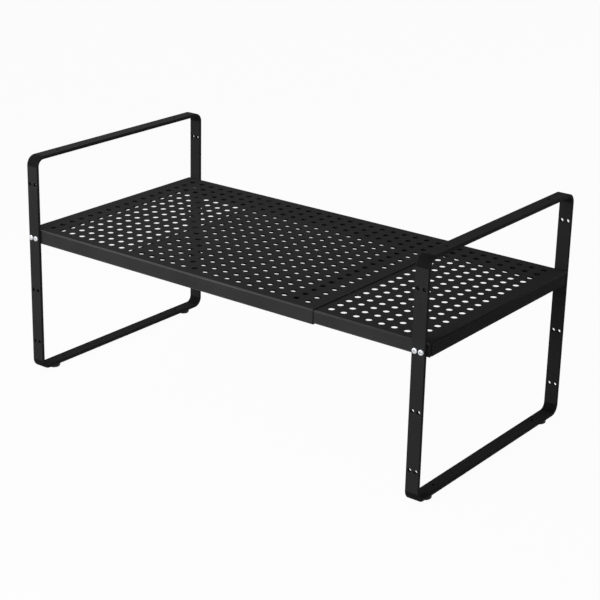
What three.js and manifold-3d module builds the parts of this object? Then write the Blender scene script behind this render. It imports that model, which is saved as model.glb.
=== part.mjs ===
// Expandable spice rack: two perforated trays that telescope, each carried by a bent flat-bar loop.
// Millimetres, +Z up. +X runs along the rack, -Y is its front, and the origin lies on the floor
// under the middle of the rack as it is stored, part extended.
import * as THREE from 'three';
import { mergeGeometries, mergeVertices } from 'three/addons/utils/BufferGeometryUtils.js';
import Module from 'manifold-3d';

// Trays: the outer one's depth and height are named here, and the inner one nests inside it with a clearance.
const OUTER_LENGTH = 318;
const INNER_LENGTH = 316.6;
const TRAY_DEPTH = 218;
const TRAY_HEIGHT = 13;
const SHEET = 0.65;
const SHEET_BEND_RADIUS = 1.2;
const LIP_WIDTH = 9;
const SLIDE_CLEARANCE = 0.2;
const REST_OVERLAP = 207.6;

// Perforation: a square grid of holes over a tray's top, as many as fit inside the margins.
const HOLE_PITCH = 12;
const HOLE_DIAMETER = 5.4;
const END_MARGIN = 16.1;
const MOUTH_MARGIN = 12;
const SIDE_MARGIN = 11.5;

// Slits that part the end flange from the front and back flanges at a tray's two closed corners,
// and the laps of those flanges that close the slits from behind.
const CORNER_TAB_WIDTH = 2.2;
const CORNER_SLIT_WIDTH = 1.5;
const CORNER_LAP_WIDTH = 9;

// Loop frames: flat bar bent to a rounded rectangle, with pairs of screw holes up both legs.
const BAR_WIDTH = 12;
const BAR_THICKNESS = 3;
const LOOP_HEIGHT = 203;
const LOOP_BEND_RADIUS = 9;
const FRAME_INSET = 1.5;
const PAIR_LEVELS = 4;
const PAIR_PITCH = 50;
const LOWEST_PAIR_HEIGHT = 27.5;
const LEVELS_BELOW_SHELF = 2;
const LEG_HOLE_DIAMETER = 3.3;
const BAR_HOLE_DIAMETER = 3.5;
const BAR_HOLE_INSET = 33;

// Screws, square weld nuts, and the washers that fill the inner tray's narrower fit.
const SCREW_DIAMETER = 3;
const SCREW_DROP = 7.5;
const SCREW_TIP = 0.8;
const HEAD_DIAMETER = 4.8;
const HEAD_HEIGHT = 1.5;
const HEAD_RIM_HEIGHT = 0.7;
const RECESS_SPAN = 2.8;
const RECESS_WIDTH = 0.8;
const RECESS_DEPTH = 0.8;
const NUT_SIZE = 5;
const NUT_HEIGHT = 2.2;
const WASHER_DIAMETER = 5;
const THREAD_CLEARANCE = 0.15;
const SCREW_HOLE_CLEARANCE = 0.2;
const FASTENER_GAP = 0.6;

// Rubber feet under the bottom bars.
const FOOT_DIAMETER = 11;
const FOOT_HEIGHT = 3.5;
const FOOT_EDGE_RADIUS = 1.6;
const FOOT_INSET = 20.5;

// Flat strap across the inner tray, resting on its lips.
const STRAP_WIDTH = 12;
const STRAP_THICKNESS = 1.2;
const STRAP_FROM_MOUTH = 165;
const STRAP_END_GAP = 0.5;

// Sides given to round forms.
const BEND_STEPS = 3;
const LOOP_BEND_STEPS = 6;
const HOLE_SIDES = 8;
const PERFORATION_SIDES = 4;
const SCREW_SIDES = 12;
const FOOT_SIDES = 16;
const FOOT_EDGE_STEPS = 3;

// How far a cutting tool runs past the material that it cuts.
const CUT_OVERRUN = 1;

// Sizes that follow from the ones above.
const NEST_STEP = SHEET + SLIDE_CLEARANCE;
const HALF_LENGTH = (OUTER_LENGTH + INNER_LENGTH - REST_OVERLAP) / 2;
const LOOP_DEPTH = TRAY_DEPTH + 2 * BAR_THICKNESS;
const FRAME_X = HALF_LENGTH - FRAME_INSET - BAR_WIDTH / 2;
const PAIR_SPACING = Math.max(HEAD_DIAMETER, NUT_SIZE, WASHER_DIAMETER) + FASTENER_GAP;
const SCREW_Z = FOOT_HEIGHT + LOWEST_PAIR_HEIGHT + LEVELS_BELOW_SHELF * PAIR_PITCH;
const TRAY_TOP = SCREW_Z + SCREW_DROP;
const SCREW_HOLE_DIAMETER = SCREW_DIAMETER + 2 * SCREW_HOLE_CLEARANCE;
const NUT_BORE = SCREW_DIAMETER + 2 * THREAD_CLEARANCE;

const OUTER_TRAY = {
  length: OUTER_LENGTH,
  depth: TRAY_DEPTH,
  top: TRAY_TOP,
  bottom: TRAY_TOP - TRAY_HEIGHT,
  legGap: 0,
};
const INNER_TRAY = {
  length: INNER_LENGTH,
  depth: TRAY_DEPTH - 2 * NEST_STEP,
  top: TRAY_TOP - NEST_STEP,
  bottom: TRAY_TOP - TRAY_HEIGHT + NEST_STEP,
  legGap: NEST_STEP,
};
const HALVES = [
  { name: 'left', side: -1, tray: OUTER_TRAY },
  { name: 'right', side: 1, tray: INNER_TRAY },
];
const FACES = [
  { name: 'front', way: -1 },
  { name: 'back', way: 1 },
];

const POWDER_COAT = new THREE.MeshStandardMaterial({ color: 0x2b2b2d, roughness: 0.55, metalness: 0.2 });
const ZINC_STEEL = new THREE.MeshStandardMaterial({ color: 0xc9ccd0, roughness: 0.25, metalness: 1 });
const BLACK_NYLON = new THREE.MeshStandardMaterial({ color: 0x141414, roughness: 0.6, metalness: 0 });
const BLACK_RUBBER = new THREE.MeshStandardMaterial({ color: 0x111111, roughness: 0.85, metalness: 0 });

const wasm = await Module();
wasm.setup();

const X_AXIS = new THREE.Vector3(1, 0, 0);
const Y_AXIS = new THREE.Vector3(0, 1, 0);
const Z_AXIS = new THREE.Vector3(0, 0, 1);
const SECTION_ALONG_X = new THREE.Matrix4().makeBasis(Y_AXIS, Z_AXIS, X_AXIS);
const SECTION_ALONG_Y = new THREE.Matrix4().makeBasis(X_AXIS, Z_AXIS, Y_AXIS.clone().negate());

// A closed body for cutting and joining, with its shared vertices merged.
function solidOf(geometry) {
  geometry.deleteAttribute('normal');
  geometry.deleteAttribute('uv');
  const merged = mergeVertices(geometry);
  const index = merged.index.array;
  const triangles = [];
  for (let i = 0; i < index.length; i += 3) {
    const [a, b, c] = index.slice(i, i + 3);
    if (a !== b && b !== c && c !== a) triangles.push(a, b, c);
  }
  const vertProperties = merged.attributes.position.array;
  const triVerts = Uint32Array.from(triangles);
  return new wasm.Manifold(new wasm.Mesh({ numProp: 3, vertProperties, triVerts }));
}

function geometryOf(solid) {
  const mesh = solid.getMesh();
  const geometry = new THREE.BufferGeometry();
  geometry.setAttribute('position', new THREE.BufferAttribute(mesh.vertProperties, 3));
  geometry.setIndex(new THREE.BufferAttribute(mesh.triVerts, 1));
  geometry.computeVertexNormals();
  return geometry;
}

function piece(name, solid, material) {
  const mesh = new THREE.Mesh(geometryOf(solid), material);
  mesh.name = name;
  return mesh;
}

function extrude(shape, depth, steps = BEND_STEPS) {
  return new THREE.ExtrudeGeometry(shape, { depth, bevelEnabled: false, curveSegments: steps });
}

function box(sizeX, sizeY, sizeZ, x, y, z) {
  return solidOf(new THREE.BoxGeometry(sizeX, sizeY, sizeZ).translate(x, y, z));
}

function rodAlongY(diameter, length, x, z) {
  const rod = new THREE.CylinderGeometry(diameter / 2, diameter / 2, length, HOLE_SIDES);
  return solidOf(rod.rotateY(Math.PI / HOLE_SIDES).translate(x, 0, z));
}

function rodAlongZ(diameter, length, x, y, z) {
  const rod = new THREE.CylinderGeometry(diameter / 2, diameter / 2, length, HOLE_SIDES);
  return solidOf(rod.rotateY(Math.PI / HOLE_SIDES).rotateX(Math.PI / 2).translate(x, y, z));
}

function roundedRectangle(width, height, bottom, radius, Outline = THREE.Shape) {
  const half = width / 2;
  const top = bottom + height;
  const outline = new Outline();
  outline.moveTo(half - radius, bottom);
  outline.absarc(half - radius, bottom + radius, radius, -Math.PI / 2, 0, false);
  outline.absarc(half - radius, top - radius, radius, 0, Math.PI / 2, false);
  outline.absarc(-half + radius, top - radius, radius, Math.PI / 2, Math.PI, false);
  outline.absarc(-half + radius, bottom + radius, radius, Math.PI, 1.5 * Math.PI, false);
  outline.closePath();
  return outline;
}

// The tray's channel section: a top, two flanges and two lips turned in under it.
function traySection({ depth, top, bottom }) {
  const half = depth / 2;
  const outer = SHEET_BEND_RADIUS;
  const inner = outer - SHEET;
  const right = Math.PI / 2;
  const section = new THREE.Shape();
  section.moveTo(-half + LIP_WIDTH, bottom);
  section.absarc(-half + outer, bottom + outer, outer, -right, -2 * right, true);
  section.absarc(-half + outer, top - outer, outer, 2 * right, right, true);
  section.absarc(half - outer, top - outer, outer, right, 0, true);
  section.absarc(half - outer, bottom + outer, outer, 0, -right, true);
  section.lineTo(half - LIP_WIDTH, bottom);
  section.lineTo(half - LIP_WIDTH, bottom + SHEET);
  section.absarc(half - outer, bottom + outer, inner, -right, 0, false);
  section.absarc(half - outer, top - outer, inner, 0, right, false);
  section.absarc(-half + outer, top - outer, inner, right, 2 * right, false);
  section.absarc(-half + outer, bottom + outer, inner, 2 * right, 3 * right, false);
  section.lineTo(-half + LIP_WIDTH, bottom + SHEET);
  section.closePath();
  return section;
}

// The space that a tray fills, with the bend of its end flange: x = 0 is the closed end.
function trayEnvelope({ length, depth, top, bottom }) {
  const profile = new THREE.Shape();
  profile.moveTo(0, bottom);
  profile.lineTo(length, bottom);
  profile.lineTo(length, top);
  profile.absarc(SHEET_BEND_RADIUS, top - SHEET_BEND_RADIUS, SHEET_BEND_RADIUS, Math.PI / 2, Math.PI, false);
  profile.closePath();
  const block = extrude(profile, depth).applyMatrix4(SECTION_ALONG_Y).translate(0, depth / 2, 0);
  return solidOf(block);
}

// The prisms that punch a tray's top, each as large in area as the round hole it stands for.
function perforations({ length, depth, top }) {
  const columns = 1 + Math.floor((length - END_MARGIN - MOUTH_MARGIN) / HOLE_PITCH);
  const rows = 1 + Math.floor((depth - 2 * SIDE_MARGIN) / HOLE_PITCH);
  const wedge = (2 * Math.PI) / PERFORATION_SIDES;
  const radius = (HOLE_DIAMETER / 2) * Math.sqrt(wedge / Math.sin(wedge));
  const tall = SHEET + 2 * CUT_OVERRUN;
  const punch = new THREE.CylinderGeometry(radius, radius, tall, PERFORATION_SIDES);
  punch.rotateY(wedge / 2).rotateX(Math.PI / 2);
  const punches = [];
  for (let column = 0; column < columns; column += 1) {
    for (let row = 0; row < rows; row += 1) {
      const x = END_MARGIN + column * HOLE_PITCH;
      const y = (row - (rows - 1) / 2) * HOLE_PITCH;
      punches.push(punch.clone().translate(x, y, top - SHEET / 2));
    }
  }
  return solidOf(mergeGeometries(punches));
}

// A tray from its closed end at x = 0 to its open mouth.
function tray(form) {
  const { length, depth, top, bottom } = form;
  const height = top - bottom;
  const channel = solidOf(extrude(traySection(form), length).applyMatrix4(SECTION_ALONG_X));
  let body = channel.add(box(SHEET, depth, height, SHEET / 2, 0, bottom + height / 2));
  body = body.intersect(trayEnvelope(form));

  const slitHeight = height - SHEET_BEND_RADIUS;
  const slitY = depth / 2 - CORNER_TAB_WIDTH - CORNER_SLIT_WIDTH / 2;
  const lapY = (depth - SHEET - CORNER_LAP_WIDTH) / 2;
  for (const { way } of FACES) {
    const lap = [1.5 * SHEET, CORNER_LAP_WIDTH, slitHeight - SHEET / 2];
    body = body.add(box(...lap, 1.25 * SHEET, way * lapY, bottom + (slitHeight + SHEET / 2) / 2));
    const slitX = SHEET - CUT_OVERRUN;
    const tool = [2 * CUT_OVERRUN, CORNER_SLIT_WIDTH, slitHeight + CUT_OVERRUN];
    const middle = bottom + (slitHeight - CUT_OVERRUN) / 2;
    body = body.subtract(box(...tool, slitX, way * slitY, middle));
  }
  for (const step of [-0.5, 0.5]) {
    const x = FRAME_INSET + BAR_WIDTH / 2 + step * PAIR_SPACING;
    body = body.subtract(rodAlongY(SCREW_HOLE_DIAMETER, depth + 2 * CUT_OVERRUN, x, SCREW_Z));
  }
  return body.subtract(perforations(form));
}

// The flat-bar loop, standing across the rack with its bar centred on x = 0.
function loopFrame() {
  const outline = roundedRectangle(LOOP_DEPTH, LOOP_HEIGHT, FOOT_HEIGHT, LOOP_BEND_RADIUS);
  const window = roundedRectangle(
    LOOP_DEPTH - 2 * BAR_THICKNESS,
    LOOP_HEIGHT - 2 * BAR_THICKNESS,
    FOOT_HEIGHT + BAR_THICKNESS,
    LOOP_BEND_RADIUS - BAR_THICKNESS,
    THREE.Path,
  );
  outline.holes.push(window);
  const bar = extrude(outline, BAR_WIDTH, LOOP_BEND_STEPS).translate(0, 0, -BAR_WIDTH / 2);
  let body = solidOf(bar.applyMatrix4(SECTION_ALONG_X));

  const acrossLegs = LOOP_DEPTH + 2 * CUT_OVERRUN;
  for (let level = 0; level < PAIR_LEVELS; level += 1) {
    const z = FOOT_HEIGHT + LOWEST_PAIR_HEIGHT + level * PAIR_PITCH;
    for (const step of [-0.5, 0.5]) {
      body = body.subtract(rodAlongY(LEG_HOLE_DIAMETER, acrossLegs, step * PAIR_SPACING, z));
    }
  }
  const acrossBars = LOOP_HEIGHT + 2 * CUT_OVERRUN;
  for (const { way } of FACES) {
    const y = way * (LOOP_DEPTH / 2 - BAR_HOLE_INSET);
    body = body.subtract(rodAlongZ(BAR_HOLE_DIAMETER, acrossBars, 0, y, FOOT_HEIGHT + LOOP_HEIGHT / 2));
  }
  return body;
}

// A pan-head screw with a cross recess: the head's seat is at y = 0 and the shank runs along +y.
function screw(grip) {
  const shank = SCREW_DIAMETER / 2;
  const head = HEAD_DIAMETER / 2;
  const domeStart = HEAD_HEIGHT - HEAD_RIM_HEIGHT;
  const crown = head - domeStart;
  const profile = [
    new THREE.Vector2(0, -HEAD_HEIGHT),
    new THREE.Vector2(crown, -HEAD_HEIGHT),
    new THREE.Vector2(crown + domeStart * Math.SQRT1_2, -HEAD_RIM_HEIGHT - domeStart * Math.SQRT1_2),
    new THREE.Vector2(head, -HEAD_RIM_HEIGHT),
    new THREE.Vector2(head, 0),
    new THREE.Vector2(shank, 0),
    new THREE.Vector2(shank, grip),
    new THREE.Vector2(0, grip),
  ];
  let body = solidOf(new THREE.LatheGeometry(profile, SCREW_SIDES));
  const recessY = -HEAD_HEIGHT + (RECESS_DEPTH - CUT_OVERRUN) / 2;
  const recessTall = RECESS_DEPTH + CUT_OVERRUN;
  const blade = box(RECESS_SPAN, recessTall, RECESS_WIDTH, 0, recessY, 0);
  const crossBlade = box(RECESS_WIDTH, recessTall, RECESS_SPAN, 0, recessY, 0);
  body = body.subtract(blade.add(crossBlade));
  return body;
}

// A bored plate with its first face at y = 0, growing along +y.
function boredPlate(outline, bore, thickness) {
  const hole = new THREE.Path();
  hole.absarc(0, 0, bore / 2, 0, 2 * Math.PI, false);
  outline.holes.push(hole);
  const plate = extrude(outline, thickness, HOLE_SIDES).applyMatrix4(SECTION_ALONG_Y);
  return solidOf(plate.translate(0, thickness, 0));
}

function weldNut() {
  const half = NUT_SIZE / 2;
  const outline = new THREE.Shape();
  outline.moveTo(-half, -half);
  outline.lineTo(half, -half);
  outline.lineTo(half, half);
  outline.lineTo(-half, half);
  outline.closePath();
  return boredPlate(outline, NUT_BORE, NUT_HEIGHT);
}

function spacerWasher() {
  const outline = new THREE.Shape();
  outline.absarc(0, 0, WASHER_DIAMETER / 2, 0, 2 * Math.PI, false);
  return boredPlate(outline, SCREW_HOLE_DIAMETER, NEST_STEP);
}

// A rubber foot on the floor, flat on top, with a rounded lower edge.
function rubberFoot() {
  const radius = FOOT_DIAMETER / 2;
  const profile = [new THREE.Vector2(0, 0)];
  for (let step = 0; step <= FOOT_EDGE_STEPS; step += 1) {
    const turn = (step / FOOT_EDGE_STEPS) * (Math.PI / 2);
    const r = radius - FOOT_EDGE_RADIUS * (1 - Math.sin(turn));
    profile.push(new THREE.Vector2(r, FOOT_EDGE_RADIUS * (1 - Math.cos(turn))));
  }
  profile.push(new THREE.Vector2(radius, FOOT_HEIGHT));
  profile.push(new THREE.Vector2(0, FOOT_HEIGHT));
  return solidOf(new THREE.LatheGeometry(profile, FOOT_SIDES).rotateX(Math.PI / 2));
}

function crossStrap({ depth, bottom }) {
  const length = depth - 2 * (SHEET_BEND_RADIUS + STRAP_END_GAP);
  return box(STRAP_WIDTH, length, STRAP_THICKNESS, 0, 0, bottom + SHEET + STRAP_THICKNESS / 2);
}

// The screw pairs of one half, with the nut behind each and a washer where the tray is narrower.
function fasteners({ name, side, tray: form }) {
  const group = new THREE.Group();
  const grip = BAR_THICKNESS + form.legGap + SHEET + NUT_HEIGHT + SCREW_TIP;
  for (const face of FACES) {
    for (const [number, step] of [[1, -0.5], [2, 0.5]]) {
      const stack = new THREE.Group();
      stack.position.set(side * FRAME_X + step * PAIR_SPACING, face.way * (LOOP_DEPTH / 2), SCREW_Z);
      stack.rotation.z = face.way > 0 ? Math.PI : 0;
      const label = `${name}_${face.name}`;
      stack.add(piece(`${label}_screw_${number}`, screw(grip), ZINC_STEEL));
      const nut = piece(`${label}_weld_nut_${number}`, weldNut(), ZINC_STEEL);
      nut.position.y = BAR_THICKNESS + form.legGap + SHEET;
      stack.add(nut);
      if (form.legGap > 0) {
        const washer = piece(`${label}_washer_${number}`, spacerWasher(), BLACK_NYLON);
        washer.position.y = BAR_THICKNESS;
        stack.add(washer);
      }
      group.add(stack);
    }
  }
  return group;
}

function feet({ name, side }) {
  const group = new THREE.Group();
  for (const face of FACES) {
    const foot = piece(`${name}_${face.name}_foot`, rubberFoot(), BLACK_RUBBER);
    foot.position.set(side * FRAME_X, face.way * (LOOP_DEPTH / 2 - FOOT_INSET), 0);
    group.add(foot);
  }
  return group;
}

const rack = new THREE.Group();
for (const half of HALVES) {
  const shelf = piece(`${half.name}_tray`, tray(half.tray), POWDER_COAT);
  shelf.position.x = half.side * HALF_LENGTH;
  shelf.rotation.z = half.side > 0 ? Math.PI : 0;
  const frame = piece(`${half.name}_frame`, loopFrame(), POWDER_COAT);
  frame.position.x = half.side * FRAME_X;
  rack.add(shelf, frame, fasteners(half), feet(half));
}
const strap = piece('right_tray_strap', crossStrap(INNER_TRAY), POWDER_COAT);
strap.position.x = HALF_LENGTH - INNER_LENGTH + STRAP_FROM_MOUTH;
rack.add(strap);

export default rack;
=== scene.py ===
"""Expandable spice rack: two perforated trays that telescope, each carried by a bent flat-bar loop.

Metres, +Z up. +X runs along the rack and -Y is its front, as in the frame that is loaded here.
"""
import math

import bmesh
import bpy
import numpy as np
from bpy.props import FloatProperty, FloatVectorProperty, IntProperty, PointerProperty
from bpy.types import Operator, Panel, PropertyGroup
from mathutils import Matrix, Vector


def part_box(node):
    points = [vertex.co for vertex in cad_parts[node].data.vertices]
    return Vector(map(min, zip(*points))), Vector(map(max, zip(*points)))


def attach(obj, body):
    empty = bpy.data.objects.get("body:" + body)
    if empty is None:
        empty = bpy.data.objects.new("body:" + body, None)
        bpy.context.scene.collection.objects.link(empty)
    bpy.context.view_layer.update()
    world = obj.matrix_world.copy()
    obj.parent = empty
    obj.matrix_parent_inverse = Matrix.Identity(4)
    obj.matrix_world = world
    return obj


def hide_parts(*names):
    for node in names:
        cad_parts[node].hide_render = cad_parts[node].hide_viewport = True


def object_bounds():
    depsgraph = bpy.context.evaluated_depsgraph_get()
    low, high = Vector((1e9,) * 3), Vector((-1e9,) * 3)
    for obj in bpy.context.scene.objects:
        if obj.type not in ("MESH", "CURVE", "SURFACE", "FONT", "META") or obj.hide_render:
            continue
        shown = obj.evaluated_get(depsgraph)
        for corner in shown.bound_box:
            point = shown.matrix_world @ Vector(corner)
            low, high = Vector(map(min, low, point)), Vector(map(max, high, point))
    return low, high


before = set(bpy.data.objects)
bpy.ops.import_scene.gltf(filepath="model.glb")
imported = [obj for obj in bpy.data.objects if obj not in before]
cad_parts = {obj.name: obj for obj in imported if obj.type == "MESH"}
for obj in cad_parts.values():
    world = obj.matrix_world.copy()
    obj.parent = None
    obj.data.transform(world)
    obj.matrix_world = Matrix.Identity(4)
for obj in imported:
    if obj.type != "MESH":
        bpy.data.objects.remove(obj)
CAD_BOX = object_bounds()

bl_info = {
    "name": "Expandable spice rack",
    "version": (1, 0, 0),
    "blender": (4, 5, 0),
    "location": "3D View > Sidebar > Spice rack",
    "description": "Builds a telescoping perforated rack on two flat-bar loops",
    "category": "Object",
}

MM = 0.001
FULL_TURN = 2 * math.pi
X_AXIS, Y_AXIS, Z_AXIS = range(3)
HALVES = ("left", "right")

# Steps given to round forms.
SHEET_BEND_STEPS = 6
LOOP_BEND_STEPS = 14
BAR_EDGE_STEPS = 3
PUNCH_SIDES = 20
TURNED_SIDES = 32
THREAD_STEPS = 6
CORNER_STEPS = 5
HEAD_DOME_STEPS = 7
FOOT_EDGE_STEPS = 8
# Rings along a flared punch, three on each side of the wall's middle.
PUNCH_RINGS = 6

# How far a cutting tool runs past the material that it cuts.
OVERRUN = 1.0 * MM
# A face counts as flat if its normal is this close to an axis.
FLAT_NORMAL = 0.99995
# A hole's wall has a normal that leans no more than this towards the hole's axis.
WALL_NORMAL = 0.05
# Turned and moulded pieces keep an edge sharper than this.
SHARP_TURN = math.radians(32)

# A pan head's crown, as shares of its radius: flat to the first, and nearly flat to the second.
CROWN_FLAT, CROWN_EDGE = 0.25, 0.5
# Fall of the crown at its edge, as a share of the dome's height.
CROWN_DROP = 0.01
# Angle above level, in degrees, at which the head's round shoulder starts.
SHOULDER_START = 84
# Share of its radius that a shank loses over the last turn of its thread.
TIP_TAPER = 0.35
# Width of the cross recess at its floor, as a share of its width at the mouth.
RECESS_FLOOR = 0.5
# Seed of the screws' turns in the left half. The right half has the next one.
TURN_SEED = 7

# Noise in the finishes: the part of its range that patches use, and the speckle over the pebbles.
PATCH_LOW, PATCH_HIGH, PATCH_DETAIL = 0.3, 0.7, 4.0
SPECKLE_SHARE, SPECKLE_SCALE, SPECKLE_DETAIL = 0.6, 2.2, 3.0
# Roughness of the clear coat along the sheet's bends.
BEND_COAT_ROUGHNESS = 0.4
# What the coats of trays and loops share.
POWDER_COAT = {
    "tone": (0.88, 1.12), "roughness": (0.8, 0.92), "grain": (1500.0, 24.0), "relief": 0.012 * MM,
}

SENSOR_WIDTH = 36.0
WHITE = (1.0, 1.0, 1.0, 1.0)
FLOOR_GREY = (0.9, 0.9, 0.9, 1.0)
# Distance between nodes in the node editor.
NODE_SPACING = 190
# Kinds of sockets with a subtype.
LENGTH_SOCKET = "Float distance"
PLACE_SOCKET = "Vector translation"

LEFT_TRAY_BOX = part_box("left_tray")
LEFT_FRAME_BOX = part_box("left_frame")
SCREW_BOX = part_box("left_front_screw_1")
NEXT_SCREW_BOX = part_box("left_front_screw_2")
BAR_THICKNESS = (LEFT_TRAY_BOX[0].y - LEFT_FRAME_BOX[0].y) / MM
PAIR_SPACING = abs(NEXT_SCREW_BOX[0].x - SCREW_BOX[0].x) / MM
HEAD_HEIGHT = (LEFT_FRAME_BOX[0].y - SCREW_BOX[0].y) / MM
HEAD_DIAMETER = (SCREW_BOX[1].z - SCREW_BOX[0].z) / MM


def length(name, description, size_mm):
    """A length property, given in millimetres and kept in metres."""
    return FloatProperty(
        name=name, description=description, default=size_mm * MM, min=0.0, precision=5, unit="LENGTH"
    )


def colour(name, description, default):
    """A colour property in linear light."""
    return FloatVectorProperty(
        name=name, description=description, default=default, min=0.0, max=1.0, size=3, subtype="COLOR"
    )


def angle(name, description, degrees):
    """An angle property, given in degrees and kept in radians."""
    return FloatProperty(
        name=name, description=description, default=math.radians(degrees), subtype="ANGLE"
    )


def position(name, description, default):
    """A place in the scene."""
    return FloatVectorProperty(
        name=name, description=description, default=default, subtype="TRANSLATION"
    )


def quantity(name, description, default, unit="NONE"):
    """A number, with a unit where it has one."""
    return FloatProperty(name=name, description=description, default=default, unit=unit)


class TraySizes(PropertyGroup):
    """Sizes of the two folded, perforated trays."""

    sheet: length("Sheet", "Thickness of the folded steel sheet", 0.65)
    bend_radius: length("Bend radius", "Outside radius of the sheet's bends", 1.2)
    lip_width: length("Lip width", "Width of the lips turned in under the tray", 9.0)
    edge_break: length("Edge break", "Chamfer on the sheet's cut edges", 0.06)
    tab_width: length("Corner tab", "Flange left standing outside each corner slit", 2.2)
    slit_width: length("Corner slit", "Width of the slit that parts end flange and side flange", 1.5)
    lap_width: length("Corner lap", "Side flange folded behind the end flange", 9.0)
    hole_diameter: length("Hole diameter", "Diameter of the perforations", 5.4)
    hole_pitch: length("Hole pitch", "Distance between the perforations", 12.0)
    hole_rim: length("Hole rim", "Rounding on the perforations' edges", 0.08)
    end_margin: length("End margin", "From a tray's closed end to its first row of holes", 16.1)
    columns: IntProperty(name="Columns", description="Holes along a tray", default=25, min=1)
    rows: IntProperty(name="Rows", description="Holes across a tray", default=17, min=1)


class LoopSizes(PropertyGroup):
    """Sizes of the two bent flat-bar loops."""

    thickness: length("Bar thickness", "Thickness of the flat bar", BAR_THICKNESS)
    bend_radius: length("Bend radius", "Outside radius of the loop's corners", 9.0)
    edge_radius: length("Edge radius", "Rounding on the bar's four edges", 0.4)
    hole_diameter: length("Hole diameter", "Diameter of the holes in legs and bars", 3.2)
    hole_rim: length("Hole rim", "Rounding on the holes' edges", 0.15)
    pair_spacing: length("Pair spacing", "Distance between the two holes of a pair", PAIR_SPACING)
    lowest_pair: length("Lowest pair", "From the loop's underside to the lowest hole pair", 27.5)
    pair_pitch: length("Pair pitch", "Height from one hole pair to the next", 50.0)
    levels: IntProperty(name="Levels", description="Hole pairs up each leg", default=4, min=1)
    bar_hole_inset: length("Bar hole inset", "From a leg's outside to the hole in a bar", 33.0)


class FastenerSizes(PropertyGroup):
    """Sizes of the screws, weld nuts and spacer washers."""

    shank_diameter: length("Shank diameter", "Outside diameter of the thread", 3.0)
    thread_pitch: length("Thread pitch", "Rise of the thread in one turn", 0.5)
    thread_depth: length("Thread depth", "Depth of the thread's groove", 0.28)
    head_diameter: length("Head diameter", "Diameter of the pan head", HEAD_DIAMETER)
    head_height: length("Head height", "Height of the pan head", HEAD_HEIGHT)
    head_rim: length("Head rim", "Height of the head's straight side", 0.7)
    recess_span: length("Recess span", "Span of the cross recess", 2.8)
    recess_width: length("Recess width", "Width of the cross recess's wings", 0.8)
    recess_depth: length("Recess depth", "Depth of the cross recess", 0.95)
    nut_bore: length("Nut bore", "Diameter of the nut's bore", 3.3)
    nut_corner: length("Nut corner", "Rounding of the nut's four corners", 0.45)
    washer_bore: length("Washer bore", "Diameter of the washer's bore", 3.4)
    edge_break: length("Edge break", "Chamfer on nuts and washers", 0.18)


class FootSizes(PropertyGroup):
    """Sizes of the rubber feet, beyond what the frame gives."""

    edge_radius: length("Edge radius", "Rounding of the foot's lower edge", 1.6)
    shoulder: length("Shoulder", "Chamfer round the foot's top and in its dimple", 0.3)
    dimple_diameter: length("Dimple diameter", "Diameter of the dimple in the sole", 3.2)
    dimple_depth: length("Dimple depth", "Depth of the dimple in the sole", 0.7)


class StrapSizes(PropertyGroup):
    """Sizes of the cross strap, beyond what the frame gives."""

    edge_break: length("Edge break", "Chamfer on the strap's edges", 0.25)
    corner_radius: length("Corner radius", "Rounding of the strap's four corners", 1.5)


class FinishColours(PropertyGroup):
    """Base colours of the finishes, in linear light."""

    tray_coat: colour("Tray coat", "Matte black powder coat of the trays", (0.034, 0.034, 0.035))
    loop_coat: colour("Loop coat", "Matte black powder coat of the loops", (0.023, 0.023, 0.0239))
    zinc: colour("Zinc", "Bright plating on screws and nuts", (0.66, 0.67, 0.69))
    nylon: colour("Nylon", "Black of the spacer washers", (0.016, 0.016, 0.016))
    rubber: colour("Rubber", "Black of the feet", (0.006, 0.006, 0.006))


class StageSettings(PropertyGroup):
    """Camera, light and floor."""

    eye: position("Eye", "Place of the camera", (0.8075, -1.0676, 0.5929))
    azimuth: angle("Azimuth", "Turn of the camera round the rack, from the front", 37.242)
    pitch: angle("Pitch", "How far the camera looks down", 18.894)
    roll: angle("Roll", "Tilt of the camera about its own axis", 1.195)
    lens: quantity("Lens", "Focal length on a 36 mm sensor", 96.746, "CAMERA")
    shift_x: quantity("Shift X", "Sideways lens shift", 0.02)
    shift_y: quantity("Shift Y", "Upright lens shift", -0.08)
    front_place: position("Front place", "Place of the soft lamp in front", (0.0, -0.75, 0.5))
    front_size: quantity("Front size", "Side of the front lamp", 0.5, "LENGTH")
    front_power: quantity("Front power", "Power of the front lamp", 2.5, "POWER")
    key_place: position("Key place", "Place of the key lamp to the left in front", (-1.0, -1.8, 0.35))
    key_size: quantity("Key size", "Side of the key lamp", 0.6, "LENGTH")
    key_power: quantity("Key power", "Power of the key lamp", 20.0, "POWER")
    top_place: position("Top place", "Place of the soft lamp above the left end", (-0.25, 0.0, 0.42))
    top_size: quantity("Top size", "Side of the top lamp", 0.4, "LENGTH")
    top_power: quantity("Top power", "Power of the top lamp", 0.53, "POWER")
    back_place: position("Back place", "Place of the soft lamp behind the rack", (0.5, 1.7, 0.24))
    back_size: quantity("Back size", "Side of the back lamp", 0.4, "LENGTH")
    back_power: quantity("Back power", "Power of the back lamp", 8.0, "POWER")
    ambient: quantity("Ambient", "Strength of the light from all around", 0.12)
    floor_glow: FloatProperty(
        name="Floor white", description="Share of plain white in the floor that the camera sees",
        default=0.96, min=0.0, max=1.0, subtype="FACTOR",
    )
    floor_size: quantity("Floor size", "Side of the floor", 40.0, "LENGTH")


# Meshes


def link(name, mesh):
    """Puts a mesh into the scene as an object at the origin."""
    made = bpy.data.objects.new(name, mesh)
    bpy.context.scene.collection.objects.link(made)
    return made


def mesh_of(skin, name):
    """Turns a bmesh into a mesh with its faces pointing outwards."""
    bmesh.ops.recalc_face_normals(skin, faces=skin.faces)
    mesh = bpy.data.meshes.new(name)
    skin.to_mesh(mesh)
    skin.free()
    return mesh


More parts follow.
